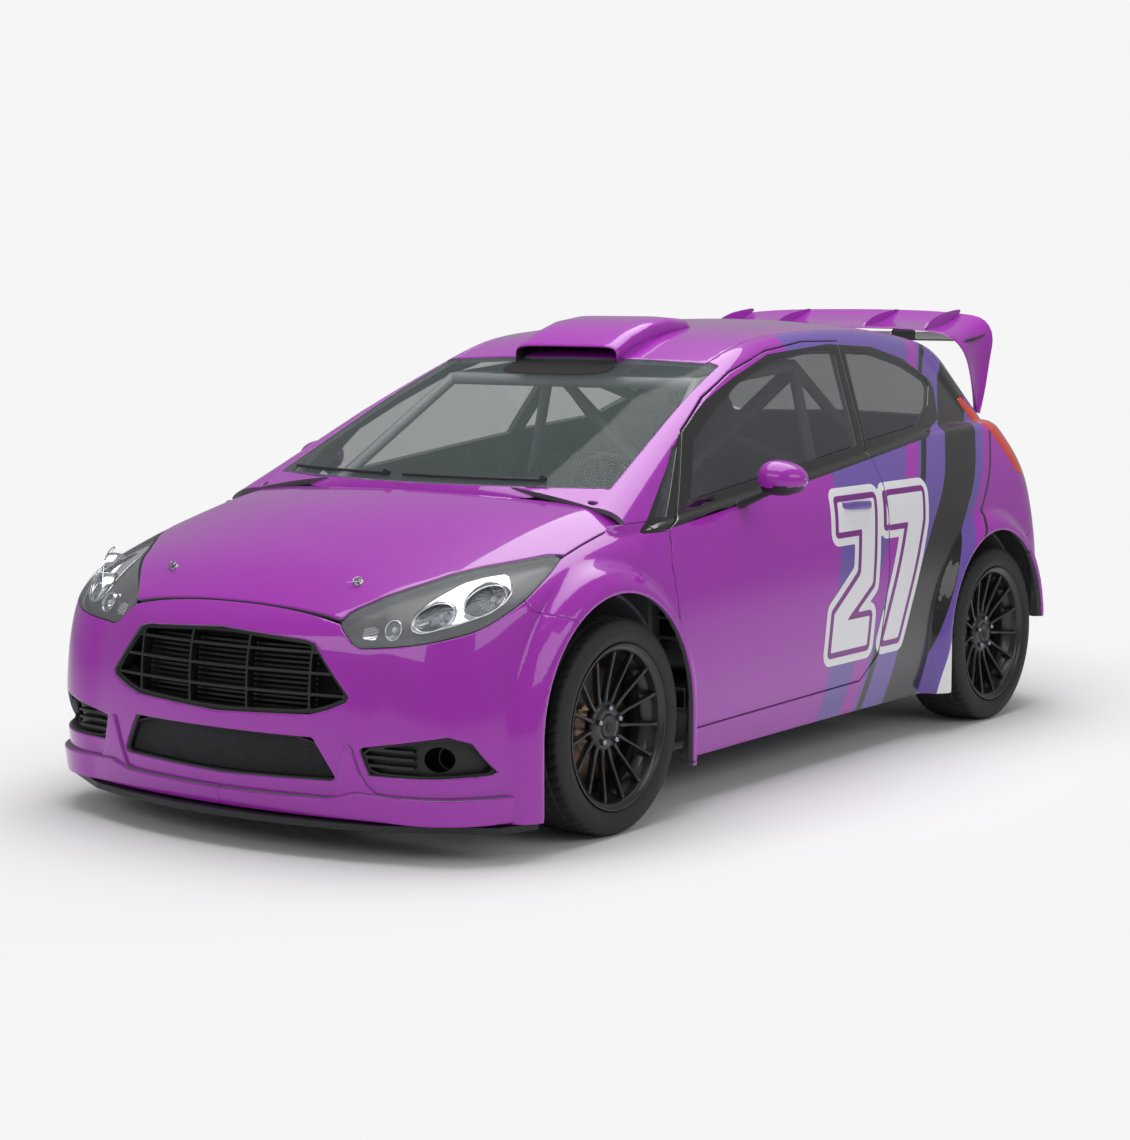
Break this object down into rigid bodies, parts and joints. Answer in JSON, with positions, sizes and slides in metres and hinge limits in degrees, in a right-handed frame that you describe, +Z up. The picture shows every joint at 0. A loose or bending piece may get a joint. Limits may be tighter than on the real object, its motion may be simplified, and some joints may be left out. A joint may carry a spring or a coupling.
{
  "type": "rally hatchback car",
  "caption": "Small four-wheel-drive rally hatchback with opening doors, bonnet and tailgate, steered front wheels, turning wheels, roll cage, roof scoop and rear wing.",
  "frame": {"origin": "on the ground, midway between nose and tail on the car's centre plane", "axes": "+Z up, the nose points along -Y, +X is the car's left-hand side"},
  "size_m": [2.052, 3.9533, 1.5079],
  "materials": {
    "body_paint": "gloss clear-coated magenta purple",
    "black_plastic": "moulded, fine grain",
    "window_glass": "clear with a light grey tint",
    "lamp_lens": "clear polycarbonate",
    "tail_lens": "moulded orange-red lens",
    "frame_steel": "satin grey paint over sheet steel",
    "cage_steel": "light grey paint over tube",
    "engine_metal": "as cast",
    "radiator_alloy": "finned core, black",
    "exhaust_steel": "brushed tube",
    "suspension_steel": "machined and dull",
    "tyre_rubber": "racing tread compound",
    "wheel_alloy": "satin black paint over cast alloy",
    "seat_fabric": "black woven cover on a moulded shell",
    "wheel_suede": "black suede-like cover"
  },
  "bodies": {
    "chassis": {"front_bumper": "body_paint", "fender_left": "body_paint", "fender_right": "body_paint", "cowl": "black_plastic", "roof_panel": "body_paint", "rear_bumper": "body_paint", "side_left": "body_paint", "side_right": "body_paint", "tail_lamps": "tail_lens", "headlamps": "lamp_lens", "windscreen": "window_glass", "side_windows": "window_glass", "floor_pan": "frame_steel", "engine": "engine_metal", "radiator": "radiator_alloy", "exhaust": "exhaust_steel", "front_suspension": "suspension_steel", "rear_suspension": "suspension_steel", "roll_cage": "cage_steel", "seats": "seat_fabric", "dashboard": "black_plastic", "grilles": "black_plastic", "splitter": "black_plastic", "roof_scoop": "body_paint", "wipers": "black_plastic"},
    "door_left": {"door_left": "body_paint", "door_glass_left": "window_glass", "mirror_left": "body_paint"},
    "door_right": {"door_right": "body_paint", "door_glass_right": "window_glass", "mirror_right": "body_paint"},
    "bonnet": {"bonnet": "body_paint"},
    "tailgate": {"tailgate": "body_paint", "rear_glass": "window_glass", "rear_wing": "body_paint"},
    "knuckle_left": {"knuckle_left": "suspension_steel"},
    "knuckle_right": {"knuckle_right": "suspension_steel"},
    "steering_wheel": {"steering_wheel": "wheel_suede"},
    "wheel_front_left": {"tyre_front_left": "tyre_rubber", "rim_front_left": "wheel_alloy"},
    "wheel_front_right": {"tyre_front_right": "tyre_rubber", "rim_front_right": "wheel_alloy"},
    "wheel_rear_left": {"tyre_rear_left": "tyre_rubber", "rim_rear_left": "wheel_alloy"},
    "wheel_rear_right": {"tyre_rear_right": "tyre_rubber", "rim_rear_right": "wheel_alloy"}
  },
  "joints": [
    {"name": "door_left_hinge", "type": "hinge", "parent": "chassis", "child": "door_left", "pos_m": [0.84, -0.769, 0.4525], "axis": [0, 0, -1], "range_deg": [0, 65]},
    {"name": "door_right_hinge", "type": "hinge", "parent": "chassis", "child": "door_right", "pos_m": [-0.84, -0.769, 0.4525], "axis": [0, 0, 1], "range_deg": [0, 65]},
    {"name": "bonnet_hinge", "type": "hinge", "parent": "chassis", "child": "bonnet", "pos_m": [0, -0.979, 0.93], "axis": [-1, 0, 0], "range_deg": [0, 50]},
    {"name": "tailgate_hinge", "type": "hinge", "parent": "chassis", "child": "tailgate", "pos_m": [0, 1.337, 1.44], "axis": [1, 0, 0], "range_deg": [0, 70]},
    {"name": "steer_left", "type": "hinge", "parent": "chassis", "child": "knuckle_left", "pos_m": [0.735, -1.19, 0.19], "axis": [-0.221, 0, 0.9753], "range_deg": [-30, 30]},
    {"name": "steer_right", "type": "hinge", "parent": "chassis", "child": "knuckle_right", "pos_m": [-0.735, -1.19, 0.19], "axis": [0.221, 0, 0.9753], "range_deg": [-30, 30]},
    {"name": "steering_wheel_turn", "type": "hinge", "parent": "chassis", "child": "steering_wheel", "pos_m": [0.352, -0.41, 0.9], "axis": [0, 0.934, 0.3573], "range_deg": [-360, 360]},
    {"name": "wheel_front_left_spin", "type": "hinge", "parent": "knuckle_left", "child": "wheel_front_left", "pos_m": [0.78, -1.19, 0.322], "axis": [1, 0, 0], "continuous": true},
    {"name": "wheel_rear_left_spin", "type": "hinge", "parent": "chassis", "child": "wheel_rear_left", "pos_m": [0.78, 1.299, 0.322], "axis": [1, 0, 0], "continuous": true},
    {"name": "wheel_front_right_spin", "type": "hinge", "parent": "knuckle_right", "child": "wheel_front_right", "pos_m": [-0.78, -1.19, 0.322], "axis": [1, 0, 0], "continuous": true},
    {"name": "wheel_rear_right_spin", "type": "hinge", "parent": "chassis", "child": "wheel_rear_right", "pos_m": [-0.78, 1.299, 0.322], "axis": [1, 0, 0], "continuous": true}
  ],
  "couplings": [
    {"joint": "steer_right", "follows": "steer_left", "ratio": 1},
    {"joint": "steering_wheel_turn", "follows": "steer_left", "ratio": 12}
  ]
}
